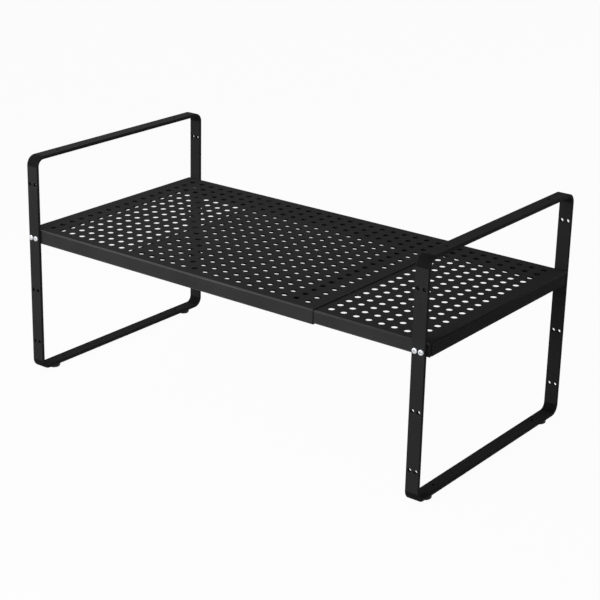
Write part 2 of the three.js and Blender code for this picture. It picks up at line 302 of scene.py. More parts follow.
def lofted(name, rings, closed=False):
    """A skin over rings of points: closed, its last ring joins its first, otherwise it is capped."""
    skin = bmesh.new()
    rows = [[skin.verts.new(point) for point in ring] for ring in rings]
    follow = rows[1:] + rows[:1] if closed else rows[1:]
    for row, after in zip(rows, follow):
        for i in range(len(row)):
            j = (i + 1) % len(row)
            skin.faces.new((row[i], row[j], after[j], after[i]))
    if not closed:
        skin.faces.new(rows[0])
        skin.faces.new(rows[-1])
    return mesh_of(skin, name)


def turned_rings(profile):
    """Rings about the Z axis for a profile of (radius, height) points."""
    turns = [FULL_TURN * i / TURNED_SIDES for i in range(TURNED_SIDES)]
    return [[Vector((r * math.cos(t), r * math.sin(t), z)) for t in turns] for r, z in profile]


def arc(centre, radius, start, end, steps):
    """Points of an arc in a plane, its angles in degrees."""
    turns = [math.radians(start + (end - start) * i / steps) for i in range(steps + 1)]
    return [(centre[0] + radius * math.cos(t), centre[1] + radius * math.sin(t)) for t in turns]


def rounded_rectangle(width, height, radius, steps=CORNER_STEPS):
    """Outline of a rectangle about the origin with rounded corners."""
    x, y = width / 2 - radius, height / 2 - radius
    outline = []
    for centre, start in (((x, y), 0), ((-x, y), 90), ((-x, -y), 180), ((x, -y), 270)):
        outline += arc(centre, radius, start, start + 90, steps)
    return outline


def combine(mesh, operation, tool):
    """Joins a tool to a mesh or cuts with it, and returns the new mesh."""
    body = link("body", mesh)
    other = link("tool", tool)
    step = body.modifiers.new("combine", "BOOLEAN")
    step.operation, step.solver, step.object = operation, "MANIFOLD", other
    result = settled_mesh(body)
    bpy.data.objects.remove(body)
    bpy.data.objects.remove(other)
    return result


def settled_mesh(made):
    """An object's evaluated shape as a plain mesh."""
    graph = bpy.context.evaluated_depsgraph_get()
    mesh = bpy.data.meshes.new_from_object(
        made.evaluated_get(graph), preserve_all_data_layers=True, depsgraph=graph
    )
    if not mesh.polygons:
        raise RuntimeError(f"{made.name} came out empty")
    return mesh


def shade_sheet(mesh, bore_axis):
    """Smooths all but the flat faces, and marks bends along X and the walls of holes along an axis.

    Edges that are rounded or broken and run the same way as the holes count as walls too.
    """
    normals = np.empty(len(mesh.polygons) * 3)
    mesh.polygons.foreach_get("normal", normals)
    slants = np.abs(normals.reshape(-1, 3))
    curved = slants.max(axis=1) < FLAT_NORMAL
    mesh.polygons.foreach_set("use_smooth", curved)
    bends = curved & (slants[:, X_AXIS] < 1 - FLAT_NORMAL)
    walls = curved & ~bends & (slants[:, bore_axis] < WALL_NORMAL)
    # Through these marks the finishes paint light: a highlight on the trays' bends, shade on the
    # loops' bends and on walls.
    for name, marked in (("bend", bends), ("wall", walls)):
        mark = mesh.attributes.new(name, "FLOAT", "FACE")
        mark.data.foreach_set("value", marked.astype(np.float32))


def shade_turned(mesh):
    """Smooths a turned or moulded piece and keeps its sharp edges."""
    mesh.shade_smooth()
    mesh.set_sharp_from_angle(angle=SHARP_TURN)


# Node trees


def node(tree, kind, inputs=None, **settings):
    """Adds a node with its settings and inputs, each input a value or the socket that feeds it."""
    made = tree.nodes.new(kind)
    made.location = (NODE_SPACING * len(tree.nodes), 0)
    for key, value in settings.items():
        setattr(made, key, value)
    for key, value in (inputs or {}).items():
        if isinstance(value, bpy.types.NodeSocket):
            tree.links.new(value, made.inputs[key])
        else:
            made.inputs[key].default_value = value
    return made


def math_node(tree, operation, *values):
    """The result socket of a math node."""
    return node(tree, "ShaderNodeMath", dict(enumerate(values)), operation=operation).outputs[0]


def new_group(name, kind, inputs, outputs):
    """A node group with named sockets, and its input and output nodes."""
    tree = bpy.data.node_groups.new(name, kind)
    for way, sockets in (("INPUT", inputs), ("OUTPUT", outputs)):
        for label, kind_of in sockets.items():
            base, _, subtype = kind_of.partition(" ")
            socket = tree.interface.new_socket(label, in_out=way, socket_type="NodeSocket" + base)
            if subtype:
                socket.subtype = subtype.upper()
    return tree, tree.nodes.new("NodeGroupInput").outputs, tree.nodes.new("NodeGroupOutput").inputs


def geometry_tree(name, inputs):
    """A geometry tree with named inputs and one geometry output."""
    return new_group(name, "GeometryNodeTree", inputs, {"Geometry": "Geometry"})


def punch_group():
    """Geometry group for a round punch through one wall, flared where it meets the two faces."""
    made = bpy.data.node_groups.get("Flared punch")
    if made:
        return made
    sizes = {"Diameter": LENGTH_SOCKET, "Rim": LENGTH_SOCKET, "Wall": LENGTH_SOCKET}
    tree, given, result = new_group("Flared punch", "GeometryNodeTree", sizes, {"Punch": "Geometry"})
    half = math_node(tree, "MULTIPLY", given["Wall"], 0.5)
    neck = math_node(tree, "SUBTRACT", half, given["Rim"])
    over = math_node(tree, "ADD", half, OVERRUN)
    levels = node(tree, "GeometryNodeIndexSwitch", data_type="FLOAT")
    while len(levels.index_switch_items) < PUNCH_RINGS:
        levels.index_switch_items.new()
    tree.links.new(node(tree, "GeometryNodeInputIndex").outputs[0], levels.inputs["Index"])
    for item, level in enumerate((over, half, neck)):
        tree.links.new(math_node(tree, "MULTIPLY", level, -1.0), levels.inputs[str(item)])
        tree.links.new(level, levels.inputs[str(PUNCH_RINGS - 1 - item)])
    place = node(tree, "ShaderNodeCombineXYZ", {"Z": levels.outputs[0]})
    line = node(tree, "GeometryNodeMeshLine", {"Count": PUNCH_RINGS})
    axis = node(
        tree, "GeometryNodeSetPosition",
        {"Geometry": line.outputs[0], "Position": place.outputs[0]},
    )
    path = node(tree, "GeometryNodeMeshToCurve", {"Mesh": axis.outputs[0]})
    spot = node(tree, "GeometryNodeInputPosition").outputs[0]
    height = node(tree, "ShaderNodeSeparateXYZ", {0: spot}).outputs["Z"]
    away = math_node(tree, "ABSOLUTE", height)
    flare_from = math_node(tree, "SUBTRACT", half, math_node(tree, "MULTIPLY", given["Rim"], 0.5))
    flared = math_node(tree, "GREATER_THAN", away, flare_from)
    flare = math_node(tree, "MULTIPLY", flared, given["Rim"])
    radius = math_node(tree, "MULTIPLY_ADD", given["Diameter"], 0.5, flare)
    ring = node(tree, "GeometryNodeCurvePrimitiveCircle", {"Resolution": PUNCH_SIDES, "Radius": 1.0})
    skin = node(
        tree, "GeometryNodeCurveToMesh",
        {
            "Curve": path.outputs[0], "Profile Curve": ring.outputs[0],
            "Scale": radius, "Fill Caps": True,
        },
    )
    # A quarter of a side of turn keeps the punch's sides clear of the axes.
    turn = (0.0, 0.0, 0.5 * math.pi / PUNCH_SIDES)
    turned = node(tree, "GeometryNodeTransform", {"Geometry": skin.outputs[0], "Rotation": turn})
    tree.links.new(turned.outputs[0], result["Punch"])
    return tree


def finish_tree(tree, geometry, given, result):
    """Ends a tree: realized geometry with its finish set."""
    real = node(tree, "GeometryNodeRealizeInstances", {"Geometry": geometry})
    done = node(
        tree, "GeometryNodeSetMaterial",
        {"Geometry": real.outputs[0], "Material": given["Finish"]},
    )
    tree.links.new(done.outputs[0], result["Geometry"])
    return tree


def cut_node(tree, body, tools):
    """Cuts tools, realized first, out of a body."""
    real = node(tree, "GeometryNodeRealizeInstances", {"Geometry": tools})
    cut = node(
        tree, "GeometryNodeMeshBoolean", {"Mesh 1": body, "Mesh 2": real.outputs[0]},
        operation="DIFFERENCE", solver="MANIFOLD",
    )
    return cut.outputs[0]


def punch_node(tree, given):
    """The flared punch, sized by a tree's own inputs."""
    punch = node(tree, "GeometryNodeGroup", node_tree=punch_group())
    for label, source in (("Diameter", "Hole Diameter"), ("Rim", "Hole Rim"), ("Wall", "Wall")):
        tree.links.new(given[source], punch.inputs[label])
    return punch.outputs[0]


def perforation_tree():
    """Geometry tree that punches a square grid of holes into a tray's top."""
    inputs = {
        "Geometry": "Geometry", "Columns": "Int", "Rows": "Int", "Pitch": LENGTH_SOCKET,
        "Grid Centre": PLACE_SOCKET, "Hole Diameter": LENGTH_SOCKET, "Hole Rim": LENGTH_SOCKET,
        "Wall": LENGTH_SOCKET, "Finish": "Material",
    }
    tree, given, result = geometry_tree("Perforation", inputs)
    spans = []
    for label in ("Columns", "Rows"):
        gaps = math_node(tree, "SUBTRACT", given[label], 1.0)
        spans.append(math_node(tree, "MULTIPLY", gaps, given["Pitch"]))
    grid = node(
        tree, "GeometryNodeMeshGrid",
        {
            "Size X": spans[0], "Size Y": spans[1],
            "Vertices X": given["Columns"], "Vertices Y": given["Rows"],
        },
    )
    placed = node(
        tree, "GeometryNodeTransform",
        {"Geometry": grid.outputs[0], "Translation": given["Grid Centre"]},
    )
    punches = node(
        tree, "GeometryNodeInstanceOnPoints",
        {"Points": placed.outputs[0], "Instance": punch_node(tree, given)},
    )
    body = cut_node(tree, given["Geometry"], punches.outputs[0])
    return finish_tree(tree, body, given, result)


def outward_turn(tree):
    """The rotation that points a copy's Z axis along its seat's outward direction."""
    way = node(
        tree, "GeometryNodeInputNamedAttribute", {"Name": "outward"}, data_type="FLOAT_VECTOR"
    ).outputs[0]
    return node(tree, "FunctionNodeAlignRotationToVector", {"Vector": way}, axis="Z").outputs[0]


def loop_tree():
    """Geometry tree that bends a flat bar to a closed loop and punches holes at its seats."""
    inputs = {
        "Geometry": "Geometry", "Depth": LENGTH_SOCKET, "Height": LENGTH_SOCKET,
        "Bar Width": LENGTH_SOCKET, "Wall": LENGTH_SOCKET, "Bend Radius": LENGTH_SOCKET,
        "Edge Radius": LENGTH_SOCKET, "Centre": PLACE_SOCKET, "Hole Diameter": LENGTH_SOCKET,
        "Hole Rim": LENGTH_SOCKET, "Finish": "Material",
    }
    tree, given, result = geometry_tree("Flat bar loop", inputs)
    half = math_node(tree, "MULTIPLY", given["Wall"], 0.5)
    course = node(
        tree, "GeometryNodeCurvePrimitiveQuadrilateral",
        {
            "Width": math_node(tree, "SUBTRACT", given["Depth"], given["Wall"]),
            "Height": math_node(tree, "SUBTRACT", given["Height"], given["Wall"]),
        },
    )
    bends = node(
        tree, "GeometryNodeFilletCurve",
        {
            "Curve": course.outputs[0], "Count": LOOP_BEND_STEPS,
            "Radius": math_node(tree, "SUBTRACT", given["Bend Radius"], half),
        },
        mode="POLY",
    )
    upright = node(tree, "GeometryNodeSetCurveNormal", {"Curve": bends.outputs[0]}, mode="Z_UP")
    section = node(
        tree, "GeometryNodeCurvePrimitiveQuadrilateral",
        {"Width": given["Wall"], "Height": given["Bar Width"]},
    )
    edges = node(
        tree, "GeometryNodeFilletCurve",
        {"Curve": section.outputs[0], "Count": BAR_EDGE_STEPS, "Radius": given["Edge Radius"]},
        mode="POLY",
    )
    bar = node(
        tree, "GeometryNodeCurveToMesh",
        {"Curve": upright.outputs[0], "Profile Curve": edges.outputs[0]},
    )
    standing = node(
        tree, "GeometryNodeTransform",
        {
            "Geometry": bar.outputs[0], "Translation": given["Centre"],
            "Rotation": (math.pi / 2, 0.0, math.pi / 2),
        },
    )
    punches = node(
        tree, "GeometryNodeInstanceOnPoints",
        {
            "Points": given["Geometry"], "Instance": punch_node(tree, given),
            "Rotation": outward_turn(tree),
        },
    )
    body = cut_node(tree, standing.outputs[0], punches.outputs[0])
    return finish_tree(tree, body, given, result)


def copies_tree():
    """Geometry tree that sets one copy of a part on each seat, facing outward, with a seeded turn."""
    made = bpy.data.node_groups.get("Copies at seats")
    if made:
        return made
    inputs = {
        "Geometry": "Geometry", "Part": "Object", "Turn Range": "Float angle", "Turn Seed": "Int",
        "Finish": "Material",
    }
    tree, given, result = geometry_tree("Copies at seats", inputs)
    part = node(tree, "GeometryNodeObjectInfo", {"Object": given["Part"], "As Instance": True})
    chance = node(
        tree, "FunctionNodeRandomValue", {"Seed": given["Turn Seed"]}, data_type="FLOAT"
    )
    amount = math_node(tree, "MULTIPLY", chance.outputs[1], given["Turn Range"])
    spin = node(
        tree, "FunctionNodeAxisAngleToRotation", {"Axis": (0.0, 0.0, 1.0), "Angle": amount}
    )
    turn = node(
        tree, "FunctionNodeRotateRotation",
        {"Rotation": outward_turn(tree), "Rotate By": spin.outputs[0]}, rotation_space="LOCAL",
    )
    copies = node(
        tree, "GeometryNodeInstanceOnPoints",
        {
            "Points": given["Geometry"], "Instance": part.outputs["Geometry"],
            "Rotation": turn.outputs[0],
        },
    )
    return finish_tree(tree, copies.outputs[0], given, result)


def grown(name, mesh, tree, values):
    """Runs a tree over a mesh and returns the result as a plain object."""
    made = link(name, mesh)
    growth = made.modifiers.new(tree.name, "NODES")
    growth.node_group = tree
    for item in tree.interface.items_tree:
        if item.in_out == "INPUT" and item.name in values:
            growth[item.identifier] = values[item.name]
    result = settled_mesh(made)
    result.name = name
    made.modifiers.clear()
    made.data = result
    return made


def seats_mesh(seats):
    """Loose points, each with the direction that faces outward there."""
    mesh = bpy.data.meshes.new("seats")
    mesh.from_pydata([place for place, _ in seats], [], [])
    mark = mesh.attributes.new("outward", "FLOAT_VECTOR", "POINT")
    mark.data.foreach_set("vector", [part for _, way in seats for part in way])
    return mesh


# Finishes


def grain_group():
    """Shader group: fine grain for the surface, and slow patches for its tone and gloss."""
    made = bpy.data.node_groups.get("Surface grain")
    if made:
        return made
    inputs = {"Vector": "Vector", "Grain Scale": "Float", "Patch Scale": "Float"}
    tree, given, result = new_group(
        "Surface grain", "ShaderNodeTree", inputs, {"Grain": "Float", "Patches": "Float"}
    )
    pebbles = node(
        tree, "ShaderNodeTexVoronoi",
        {"Vector": given["Vector"], "Scale": given["Grain Scale"]}, feature="SMOOTH_F1",
    )
    speckle = node(
        tree, "ShaderNodeTexNoise",
        {
            "Vector": given["Vector"], "Detail": SPECKLE_DETAIL,
            "Scale": math_node(tree, "MULTIPLY", given["Grain Scale"], SPECKLE_SCALE),
        },
    )
    grain = math_node(
        tree, "MULTIPLY_ADD", speckle.outputs[0], SPECKLE_SHARE, pebbles.outputs["Distance"]
    )
    patches = node(
        tree, "ShaderNodeTexNoise",
        {"Vector": given["Vector"], "Scale": given["Patch Scale"], "Detail": PATCH_DETAIL},
    )
    tree.links.new(grain, result["Grain"])
    tree.links.new(patches.outputs[0], result["Patches"])
    return tree


def finish(
    name, base, tone, roughness, grain, relief, metallic=0.0, specular=0.5,
    bend_painted_light=1.0, bend_coat=0.0, wall_painted_shade=1.0,
):
    """A grained finish over a base colour.

    tone and roughness are (low, high) over the patches, grain the scales of (pebbles, patches) and
    relief the pebbles' depth. The tone is multiplied on marked bends and walls to paint light and
    shade there, above 1 as a painted highlight and below 1 as painted shade, and bend_coat is the
    weight of a clear coat on the bends.
    """
    made = bpy.data.materials.get(name)
    if made:
        return made
    made = bpy.data.materials.new(name)
    made.use_nodes = True
    tree = made.node_tree
    surface = tree.nodes["Principled BSDF"]
    surface.inputs["Metallic"].default_value = metallic
    surface.inputs["Specular IOR Level"].default_value = specular
    place = node(tree, "ShaderNodeTexCoord")
    texture = node(tree, "ShaderNodeGroup", node_tree=grain_group())
    tree.links.new(place.outputs["Object"], texture.inputs["Vector"])
    texture.inputs["Grain Scale"].default_value, texture.inputs["Patch Scale"].default_value = grain
    spread = {
        "Value": texture.outputs["Patches"], "From Min": PATCH_LOW, "From Max": PATCH_HIGH,
    }
    shade = node(
        tree, "ShaderNodeMapRange", {**spread, "To Min": tone[0], "To Max": tone[1]}
    ).outputs[0]
    # Marked bends and walls get painted light: the tone is scaled up for a painted highlight and down
    # for painted shade.
    for mark, change in (("bend", bend_painted_light), ("wall", wall_painted_shade)):
        if change != 1.0:
            marked = node(tree, "ShaderNodeAttribute", attribute_name=mark).outputs["Fac"]
            changed = node(
                tree, "ShaderNodeMapRange", {"Value": marked, "To Min": 1.0, "To Max": change}
            )
            shade = math_node(tree, "MULTIPLY", shade, changed.outputs[0])
    if bend_coat:
        bend = node(tree, "ShaderNodeAttribute", attribute_name="bend").outputs["Fac"]
        tree.links.new(math_node(tree, "MULTIPLY", bend, bend_coat), surface.inputs["Coat Weight"])
        surface.inputs["Coat Roughness"].default_value = BEND_COAT_ROUGHNESS
    tint = node(tree, "ShaderNodeVectorMath", {0: base, "Scale": shade}, operation="SCALE")
    tree.links.new(tint.outputs[0], surface.inputs["Base Color"])
    gloss = node(
        tree, "ShaderNodeMapRange", {**spread, "To Min": roughness[0], "To Max": roughness[1]}
    )
    tree.links.new(gloss.outputs[0], surface.inputs["Roughness"])
    bump = node(
        tree, "ShaderNodeBump",
        {"Strength": 1.0, "Distance": relief, "Height": texture.outputs["Grain"]},
    )
    tree.links.new(bump.outputs[0], surface.inputs["Normal"])
    return made


def tray_coat():
    """Matte black powder coat, glossier along the sheet's bends, with a painted highlight there and
    painted shade in its holes.
    """
    return finish(
        "tray_coat", bpy.context.scene.rack_finishes.tray_coat, **POWDER_COAT, specular=0.015,
        # Painted highlight along the bends (tone times 1.25) and painted shade on the holes' walls
        # (tone times 0.15).
        bend_painted_light=1.25, bend_coat=0.4, wall_painted_shade=0.15,
    )


def loop_coat():
    """The same powder coat on the bars, with painted shade where they are bent and on the walls of
    their holes and rounded edges along Y.
    """
    return finish(
        "loop_coat", bpy.context.scene.rack_finishes.loop_coat, **POWDER_COAT, specular=0.0375,
        # Painted shade on the bends (tone times 0.4) and on the walls of holes and rounded edges
        # (tone times 0.5).
        bend_painted_light=0.4, wall_painted_shade=0.5,
    )


def zinc_steel():
    """Bright zinc plating, slightly clouded."""
    return finish(
        "zinc_steel", bpy.context.scene.rack_finishes.zinc, tone=(0.86, 1.08),
        roughness=(0.2, 0.34), grain=(2600.0, 420.0), relief=0.004 * MM, metallic=1.0,
    )


def black_nylon():
    """Moulded black nylon."""
    return finish(
        "nylon_washer", bpy.context.scene.rack_finishes.nylon, tone=(0.85, 1.2),
        roughness=(0.46, 0.6), grain=(3200.0, 300.0), relief=0.01 * MM, specular=0.3,
    )


def foot_rubber():
    """Matte black rubber with a dusty bloom."""
    return finish(
        "foot_rubber", bpy.context.scene.rack_finishes.rubber, tone=(0.8, 1.4),
        roughness=(0.72, 0.9), grain=(2200.0, 160.0), relief=0.02 * MM, specular=0.08,
    )


# Pieces


def settle(made, half, nodes):
    """Hides the CAD nodes that a finished piece stands for and hangs it on the body it rides on."""
    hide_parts(*nodes)
    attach(made, f"{half}_half")


def middle(corners):
    """Centre of a box."""
    return (corners[0] + corners[1]) / 2


def tray_path(half_depth, top, bottom, sizes, inset, lip_end):
    """One side of the folded sheet in (y, z), an inset below its outer face, from lip to lip."""
    bend = sizes.bend_radius
    radius = bend - inset
    low, high = bottom + bend, top - bend
    front = [(lip_end, bottom + inset)]
    front += arc((-half_depth + bend, low), radius, 270, 180, SHEET_BEND_STEPS)
    front += arc((-half_depth + bend, high), radius, 180, 90, SHEET_BEND_STEPS)
    return front + [(-y, z) for y, z in reversed(front)]


def tray_section(half_depth, top, bottom, sizes, shrink=0.0):
    """Closed outline of the folded sheet in (y, z), with its lips' edges broken."""
    lip = -half_depth + sizes.lip_width - shrink
    cut = sizes.edge_break
    outside, inside = shrink, sizes.sheet - shrink
    outer = tray_path(half_depth, top, bottom, sizes, outside, lip - cut)
    inner = tray_path(half_depth, top, bottom, sizes, inside, lip - cut)
    edge = [(-lip, bottom + outside + cut), (-lip, bottom + inside - cut)]
    return outer + edge + inner[::-1] + [(-y, z) for y, z in reversed(edge)]


def folded_sheet(corners, sizes):
    """A tray before it is perforated, from its closed end at x = 0 to its mouth."""
    low, high = corners
    span, depth, height = high.x - low.x, high.y - low.y, high.z - low.z
    half_depth = depth / 2

    def ring(x, outline):
        return [Vector((x, y, z)) for y, z in outline]

    full = tray_section(half_depth, high.z, low.z, sizes)
    narrowed = tray_section(half_depth, high.z, low.z, sizes, sizes.edge_break)
    mouth = [ring(span - sizes.edge_break, full), ring(span, narrowed)]
    body = lofted("channel", [ring(0.0, full), *mouth])

    bend = sizes.bend_radius
    lift = (low.z + high.z) / 2
    end = rounded_rectangle(depth, height, bend, SHEET_BEND_STEPS)
    plate = [(y, z + lift) for y, z in end]
    body = combine(body, "UNION", lofted("plate", [ring(0.0, plate), ring(sizes.sheet, plate)]))

    corner = [(-OVERRUN, high.z - bend)]
    corner += arc((bend, high.z - bend), bend, 180, 90, SHEET_BEND_STEPS)
    corner += [(bend, high.z + OVERRUN), (-OVERRUN, high.z + OVERRUN)]
    ends = (-half_depth - OVERRUN, half_depth + OVERRUN)
    rounding = lofted("rounding", [[Vector((x, y, z)) for x, z in corner] for y in ends])
    body = combine(body, "DIFFERENCE", rounding)

    slit_top = high.z - bend
    for way in (-1, 1):
        y = way * (half_depth - sizes.tab_width - sizes.slit_width / 2)
        half_slit = sizes.slit_width / 2
        outline = [
            (y - half_slit, low.z - OVERRUN), (y + half_slit, low.z - OVERRUN),
            (y + half_slit, slit_top), (y - half_slit, slit_top),
        ]
        near, far = way * (half_depth - sizes.lap_width), way * (half_depth - sizes.sheet / 2)
        base = low.z + sizes.sheet / 2
        lap = [(near, base), (far, base), (far, slit_top), (near, slit_top)]
        lap_rings = [ring(sizes.sheet / 2, lap), ring(2 * sizes.sheet, lap)]
        body = combine(body, "UNION", lofted("lap", lap_rings))
        slit = lofted("slit", [ring(-OVERRUN, outline), ring(sizes.sheet, outline)])
        body = combine(body, "DIFFERENCE", slit)
    return body


class RACK_OT_make_trays(Operator):
    """Fold the two trays, bore their screw holes and perforate their tops"""

    bl_idname = "rack.make_trays"
    bl_label = "Make trays"

    def execute(self, context):
        sizes = context.scene.rack_trays
        bore = context.scene.rack_fasteners.washer_bore / 2
        tree = perforation_tree()
        for half in HALVES:
            low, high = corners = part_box(f"{half}_tray")
            body = folded_sheet(corners, sizes)
            if half == "left":
                stand = Matrix.Translation((low.x, 0.0, 0.0))
            else:
                about = Matrix.Rotation(math.pi, 4, "Z")
                stand = Matrix.Translation((high.x, 0.0, 0.0)) @ about
            body.transform(stand)
            reach = high.y + OVERRUN
            level = Matrix.Rotation(math.pi / 2, 4, "X")
            for number in (1, 2):
                seat = middle(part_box(f"{half}_front_screw_{number}"))
                rod = lofted("rod", turned_rings([(bore, -reach), (bore, reach)]))
                rod.transform(Matrix.Translation((seat.x, 0.0, seat.z)) @ level)
                body = combine(body, "DIFFERENCE", rod)
            grid_middle = sizes.end_margin + (sizes.columns - 1) * sizes.hole_pitch / 2
            made = grown(
                f"{half}_perforated_tray", body, tree,
                {
                    "Columns": sizes.columns, "Rows": sizes.rows, "Pitch": sizes.hole_pitch,
                    "Grid Centre": stand @ Vector((grid_middle, 0.0, high.z - sizes.sheet / 2)),
                    "Hole Diameter": sizes.hole_diameter, "Hole Rim": sizes.hole_rim,
                    "Wall": sizes.sheet, "Finish": tray_coat(),
                },
            )
            shade_sheet(made.data, Z_AXIS)
            settle(made, half, [f"{half}_tray"])
        return {"FINISHED"}


class RACK_OT_make_loops(Operator):
    """Bend the two flat-bar loops and punch the hole pairs in their legs and bars"""

    bl_idname = "rack.make_loops"
    bl_label = "Make loops"

    def execute(self, context):
        sizes = context.scene.rack_loops
        tree = loop_tree()
        for half in HALVES:
            low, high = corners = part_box(f"{half}_frame")
            centre = middle(corners)
            inner = high.y - sizes.thickness / 2
            seats = []
            for way in (-1, 1):
                for level in range(sizes.levels):
                    z = low.z + sizes.lowest_pair + level * sizes.pair_pitch
                    for step in (-0.5, 0.5):
                        x = centre.x + step * sizes.pair_spacing
                        seats.append(((x, way * inner, z), (0, way, 0)))
                y = way * (high.y - sizes.bar_hole_inset)
                for z in (low.z + sizes.thickness / 2, high.z - sizes.thickness / 2):
                    seats.append(((centre.x, y, z), (0, 0, 1)))
            made = grown(
                f"{half}_loop", seats_mesh(seats), tree,
                {
                    "Depth": high.y - low.y, "Height": high.z - low.z,
                    "Bar Width": high.x - low.x, "Wall": sizes.thickness,
                    "Bend Radius": sizes.bend_radius, "Edge Radius": sizes.edge_radius,
                    "Centre": centre, "Hole Diameter": sizes.hole_diameter,
                    "Hole Rim": sizes.hole_rim, "Finish": loop_coat(),
                },
            )
            shade_sheet(made.data, Y_AXIS)
            settle(made, half, [f"{half}_frame"])
        return {"FINISHED"}


def place_copies(half, label, part_mesh, nodes, sunk, material, turn_range=0.0):
    """Sets a part on the outward face of each of its nodes, sunk below it, as one piece."""
    shade_turned(part_mesh)
    part = link("part", part_mesh)
    seats = []
    for name in nodes:
        low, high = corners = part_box(name)
        seat = middle(corners)
        if "_foot" in name:
            outward, seat.z = Vector((0, 0, 1)), high.z
        elif "_front_" in name:
            outward, seat.y = Vector((0, -1, 0)), low.y
        else:
            outward, seat.y = Vector((0, 1, 0)), high.y
        seats.append((seat - outward * sunk, outward))
    values = {
        "Part": part, "Turn Range": turn_range, "Turn Seed": TURN_SEED + HALVES.index(half),
        "Finish": material,
    }
    made = grown(f"{half}_{label}", seats_mesh(seats), copies_tree(), values)
    bpy.data.objects.remove(part)
    settle(made, half, nodes)


def nodes_named(half, label):
    """The CAD nodes of one half whose names hold a label."""
    found = sorted(
        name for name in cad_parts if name.startswith(half) and label in name
    )
    if not found:
        raise RuntimeError(f"the frame has no {half} {label}")
    return found


def screw_mesh(sizes, shank_length):
    """A pan-head screw, its seat at z = 0: head above, threaded shank below."""
    head, rim, top = sizes.head_diameter / 2, sizes.head_rim, sizes.head_height
    dome, chamfer = top - rim, sizes.edge_break / 2
    profile = [(CROWN_FLAT * head, top), (CROWN_EDGE * head, top - CROWN_DROP * dome)]
    profile += arc((head - dome, rim), dome, SHOULDER_START, 0, HEAD_DOME_STEPS)
    profile += [(head, chamfer), (head - chamfer, 0.0)]
    rings = turned_rings(profile)
    crest, pitch = sizes.shank_diameter / 2, sizes.thread_pitch
    steps = math.ceil(shank_length / pitch * THREAD_STEPS)
    for step in range(steps + 1):
        depth = shank_length * step / steps
        taper = max(0.0, 1 - (shank_length - depth) / pitch) * TIP_TAPER * crest
        ring = []
        for side in range(TURNED_SIDES):
            turn = side / TURNED_SIDES
            phase = (depth / pitch + turn) % 1.0
            groove = sizes.thread_depth * (1 - abs(2 * phase - 1)) if step else 0.0
            radius = crest - max(groove, taper)
            around = FULL_TURN * turn
            ring.append(Vector((radius * math.cos(around), radius * math.sin(around), -depth)))
        rings.append(ring)
    body = lofted("screw", rings)

    wing, half = sizes.recess_width / 2, sizes.recess_span / 2
    cross = [
        (half, -wing), (half, wing), (wing, wing), (wing, half), (-wing, half), (-wing, wing),
        (-half, wing), (-half, -wing), (-wing, -wing), (-wing, -half), (wing, -half), (wing, -wing),
    ]
    levels = [(top - sizes.recess_depth, RECESS_FLOOR), (top, 1.0), (top + OVERRUN, 1.0)]
    recess = [[Vector((x * scale, y * scale, z)) for x, y in cross] for z, scale in levels]
    return combine(body, "DIFFERENCE", lofted("cross", recess))


def nut_mesh(size, thickness, sizes):
    """A square weld nut, its seat at z = 0 and its body below."""
    cut, bore, corner = sizes.edge_break, sizes.nut_bore / 2, sizes.nut_corner
    outline = rounded_rectangle(size, size, corner)
    shrunk = rounded_rectangle(size - 2 * cut, size - 2 * cut, corner - cut)
    turns = [math.atan2(y, x) for x, y in outline]

    def flat(points, z):
        return [Vector((x, y, z)) for x, y in points]

    def round_ring(radius, z):
        return [Vector((radius * math.cos(t), radius * math.sin(t), z)) for t in turns]

    rings = [
        flat(shrunk, 0.0), flat(outline, -cut),
        flat(outline, cut - thickness), flat(shrunk, -thickness),
        round_ring(bore + cut, -thickness), round_ring(bore, cut - thickness),
        round_ring(bore, -cut), round_ring(bore + cut, 0.0),
    ]
    return lofted("nut", rings, closed=True)


def washer_mesh(diameter, thickness, sizes):
    """A spacer washer, its seat at z = 0 and its body below."""
    cut, outer, bore = sizes.edge_break, diameter / 2, sizes.washer_bore / 2
    profile = [
        (outer - cut, 0.0), (outer, -cut), (outer, cut - thickness), (outer - cut, -thickness),
        (bore + cut, -thickness), (bore, cut - thickness), (bore, -cut), (bore + cut, 0.0),
    ]
    return lofted("washer", turned_rings(profile), closed=True)


class RACK_OT_make_fasteners(Operator):
    """Make the screws, weld nuts and spacer washers and set them in their holes"""

    bl_idname = "rack.make_fasteners"
    bl_label = "Make fasteners"

    def execute(self, context):
        sizes = context.scene.rack_fasteners
        for half in HALVES:
            screws = nodes_named(half, "_screw_")
            low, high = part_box(screws[0])
            screw = screw_mesh(sizes, high.y - low.y - sizes.head_height)
            place_copies(
                half, "screws", screw, screws, sizes.head_height, zinc_steel(),
                turn_range=FULL_TURN,
            )
            nuts = nodes_named(half, "_weld_nut_")
            low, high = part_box(nuts[0])
            nut = nut_mesh(high.x - low.x, high.y - low.y, sizes)
            place_copies(half, "weld_nuts", nut, nuts, 0.0, zinc_steel())
        washers = nodes_named("right", "_washer_")
        low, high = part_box(washers[0])
        washer = washer_mesh(high.x - low.x, high.y - low.y, sizes)
        place_copies("right", "washers", washer, washers, 0.0, black_nylon())
        return {"FINISHED"}


class RACK_OT_make_feet(Operator):
    """Mould the rubber feet and set them under the bottom bars"""

    bl_idname = "rack.make_feet"
    bl_label = "Make feet"

    def execute(self, context):
        sizes = context.scene.rack_feet
        for half in HALVES:
            feet = nodes_named(half, "_foot")
            low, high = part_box(feet[0])
            radius, tall = (high.x - low.x) / 2, high.z - low.z
            soft, dimple = sizes.edge_radius, sizes.dimple_diameter / 2
            shoulder = sizes.shoulder
            profile = [(radius - shoulder, 0.0), (radius, -shoulder)]
            profile += arc((radius - soft, soft - tall), soft, 0, -90, FOOT_EDGE_STEPS)
            profile += [(dimple, -tall), (dimple - shoulder, -tall + shoulder)]
            profile += [(dimple - shoulder, -tall + sizes.dimple_depth)]
            foot = lofted("foot", turned_rings(profile))
            place_copies(half, "feet", foot, feet, 0.0, foot_rubber())
        return {"FINISHED"}


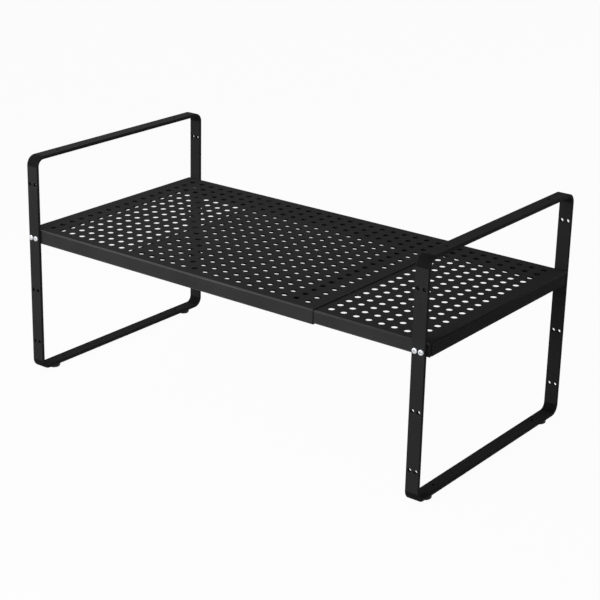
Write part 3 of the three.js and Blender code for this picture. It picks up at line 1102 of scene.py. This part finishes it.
class RACK_OT_make_strap(Operator):
    """Make the flat strap that lies across the inner tray's lips"""

    bl_idname = "rack.make_strap"
    bl_label = "Make strap"

    def execute(self, context):
        sizes = context.scene.rack_strap
        low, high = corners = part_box("right_tray_strap")
        cut, corner = sizes.edge_break, sizes.corner_radius
        wide, deep = high.x - low.x, high.y - low.y
        centre = middle(corners)
        outline = rounded_rectangle(wide, deep, corner)
        shrunk = rounded_rectangle(wide - 2 * cut, deep - 2 * cut, corner - cut)
        levels = [(low.z, shrunk), (low.z + cut, outline), (high.z - cut, outline), (high.z, shrunk)]
        rings = [[Vector((centre.x + x, centre.y + y, z)) for x, y in shape] for z, shape in levels]
        made = link("right_strap", lofted("right_strap", rings))
        made.data.materials.append(tray_coat())
        shade_sheet(made.data, Z_AXIS)
        settle(made, "right", ["right_tray_strap"])
        return {"FINISHED"}


# Stage


def seen_mask(tree):
    """1 for rays that show a surface as background: from the camera, off gloss, or through glass."""
    path = node(tree, "ShaderNodeLightPath").outputs
    plain = math_node(tree, "MAXIMUM", path["Is Camera Ray"], path["Is Glossy Ray"])
    return math_node(tree, "MAXIMUM", plain, path["Is Transmission Ray"])


def white_world(ambient):
    """A world that shows plain white and lights the rack at a lower, even level."""
    world = bpy.data.worlds.new("studio")
    world.use_nodes = True
    tree = world.node_tree
    strength = node(
        tree, "ShaderNodeMapRange", {"Value": seen_mask(tree), "To Min": ambient, "To Max": 1.0}
    )
    back = tree.nodes["Background"]
    back.inputs["Color"].default_value = WHITE
    tree.links.new(strength.outputs[0], back.inputs["Strength"])
    bpy.context.scene.world = world


def pale_floor(size, glow):
    """A pale floor that keeps the rack's shadow."""
    skin = bmesh.new()
    bmesh.ops.create_grid(skin, x_segments=1, y_segments=1, size=size / 2)
    floor = link("floor", mesh_of(skin, "floor"))
    paint = bpy.data.materials.new("floor_paint")
    paint.use_nodes = True
    tree = paint.node_tree
    tree.nodes.remove(tree.nodes["Principled BSDF"])
    matte = node(tree, "ShaderNodeBsdfDiffuse", {"Color": FLOOR_GREY})
    white = node(tree, "ShaderNodeEmission", {"Color": WHITE, "Strength": 1.0})
    share = math_node(tree, "MULTIPLY", seen_mask(tree), glow)
    mixed = node(tree, "ShaderNodeMixShader", {0: share, 1: matte.outputs[0], 2: white.outputs[0]})
    tree.links.new(mixed.outputs[0], tree.nodes["Material Output"].inputs["Surface"])
    floor.data.materials.append(paint)


def soft_lamp(name, place, size, power):
    """A square lamp that shines at the middle of the rack and isn't itself in the picture."""
    lamp = bpy.data.lights.new(name, "AREA")
    lamp.shape, lamp.size, lamp.energy = "SQUARE", size, power
    aim = middle([Vector(corner) for corner in CAD_BOX]) - Vector(place)
    turn = aim.to_track_quat("-Z", "Y").to_matrix().to_4x4()
    hung = link(name, lamp)
    hung.matrix_world = Matrix.Translation(place) @ turn
    hung.visible_camera = False


class RACK_OT_set_stage(Operator):
    """Set the camera, the lamps, the white surroundings and the pale floor"""

    bl_idname = "rack.set_stage"
    bl_label = "Set stage"

    def execute(self, context):
        stage = context.scene.rack_stage
        eye = bpy.data.cameras.new("camera")
        eye.sensor_width, eye.lens = SENSOR_WIDTH, stage.lens
        eye.shift_x, eye.shift_y = stage.shift_x, stage.shift_y
        camera = link("camera", eye)
        turn, fall = stage.azimuth, stage.pitch
        reach = math.cos(fall)
        back = Vector((math.sin(turn) * reach, -math.cos(turn) * reach, math.sin(fall)))
        level = Vector((math.cos(turn), math.sin(turn), 0.0))
        upright = back.cross(level)
        right = level * math.cos(stage.roll) + upright * math.sin(stage.roll)
        facing = Matrix((right, back.cross(right), back)).transposed().to_4x4()
        camera.matrix_world = Matrix.Translation(stage.eye) @ facing
        context.scene.camera = camera

        for lamp in ("front", "key", "top", "back"):
            settings = [getattr(stage, f"{lamp}_{name}") for name in ("place", "size", "power")]
            soft_lamp(f"{lamp}_lamp", *settings)
        white_world(stage.ambient)
        pale_floor(stage.floor_size, stage.floor_glow)
        context.scene.view_settings.view_transform = "Standard"
        return {"FINISHED"}


SETTINGS = {
    "rack_trays": TraySizes,
    "rack_loops": LoopSizes,
    "rack_fasteners": FastenerSizes,
    "rack_feet": FootSizes,
    "rack_strap": StrapSizes,
    "rack_finishes": FinishColours,
    "rack_stage": StageSettings,
}
OPERATORS = (
    RACK_OT_set_stage, RACK_OT_make_trays, RACK_OT_make_loops, RACK_OT_make_fasteners,
    RACK_OT_make_feet, RACK_OT_make_strap,
)


class RACK_PT_sidebar(Panel):
    """The rack's sizes, colours and building steps"""

    bl_idname = "RACK_PT_sidebar"
    bl_label = "Spice rack"
    bl_space_type = "VIEW_3D"
    bl_region_type = "UI"
    bl_category = "Spice rack"

    def draw(self, context):
        for operator in OPERATORS:
            self.layout.operator(operator.bl_idname)
        for key, settings in SETTINGS.items():
            box = self.layout.box()
            box.label(text=settings.__doc__)
            for name in settings.__annotations__:
                box.prop(getattr(context.scene, key), name)


CLASSES = (*SETTINGS.values(), *OPERATORS, RACK_PT_sidebar)


def register():
    """Makes the settings, operators and panel known to Blender."""
    for entry in CLASSES:
        bpy.utils.register_class(entry)
    for key, settings in SETTINGS.items():
        setattr(bpy.types.Scene, key, PointerProperty(type=settings))


def unregister():
    """Takes them out again."""
    for key in SETTINGS:
        delattr(bpy.types.Scene, key)
    for entry in reversed(CLASSES):
        bpy.utils.unregister_class(entry)


def main():
    """Registers the add-on and builds the stage and all pieces."""
    register()
    bpy.ops.rack.set_stage()
    bpy.ops.rack.make_trays()
    bpy.ops.rack.make_loops()
    bpy.ops.rack.make_fasteners()
    bpy.ops.rack.make_feet()
    bpy.ops.rack.make_strap()


if __name__ == "__main__":
    main()
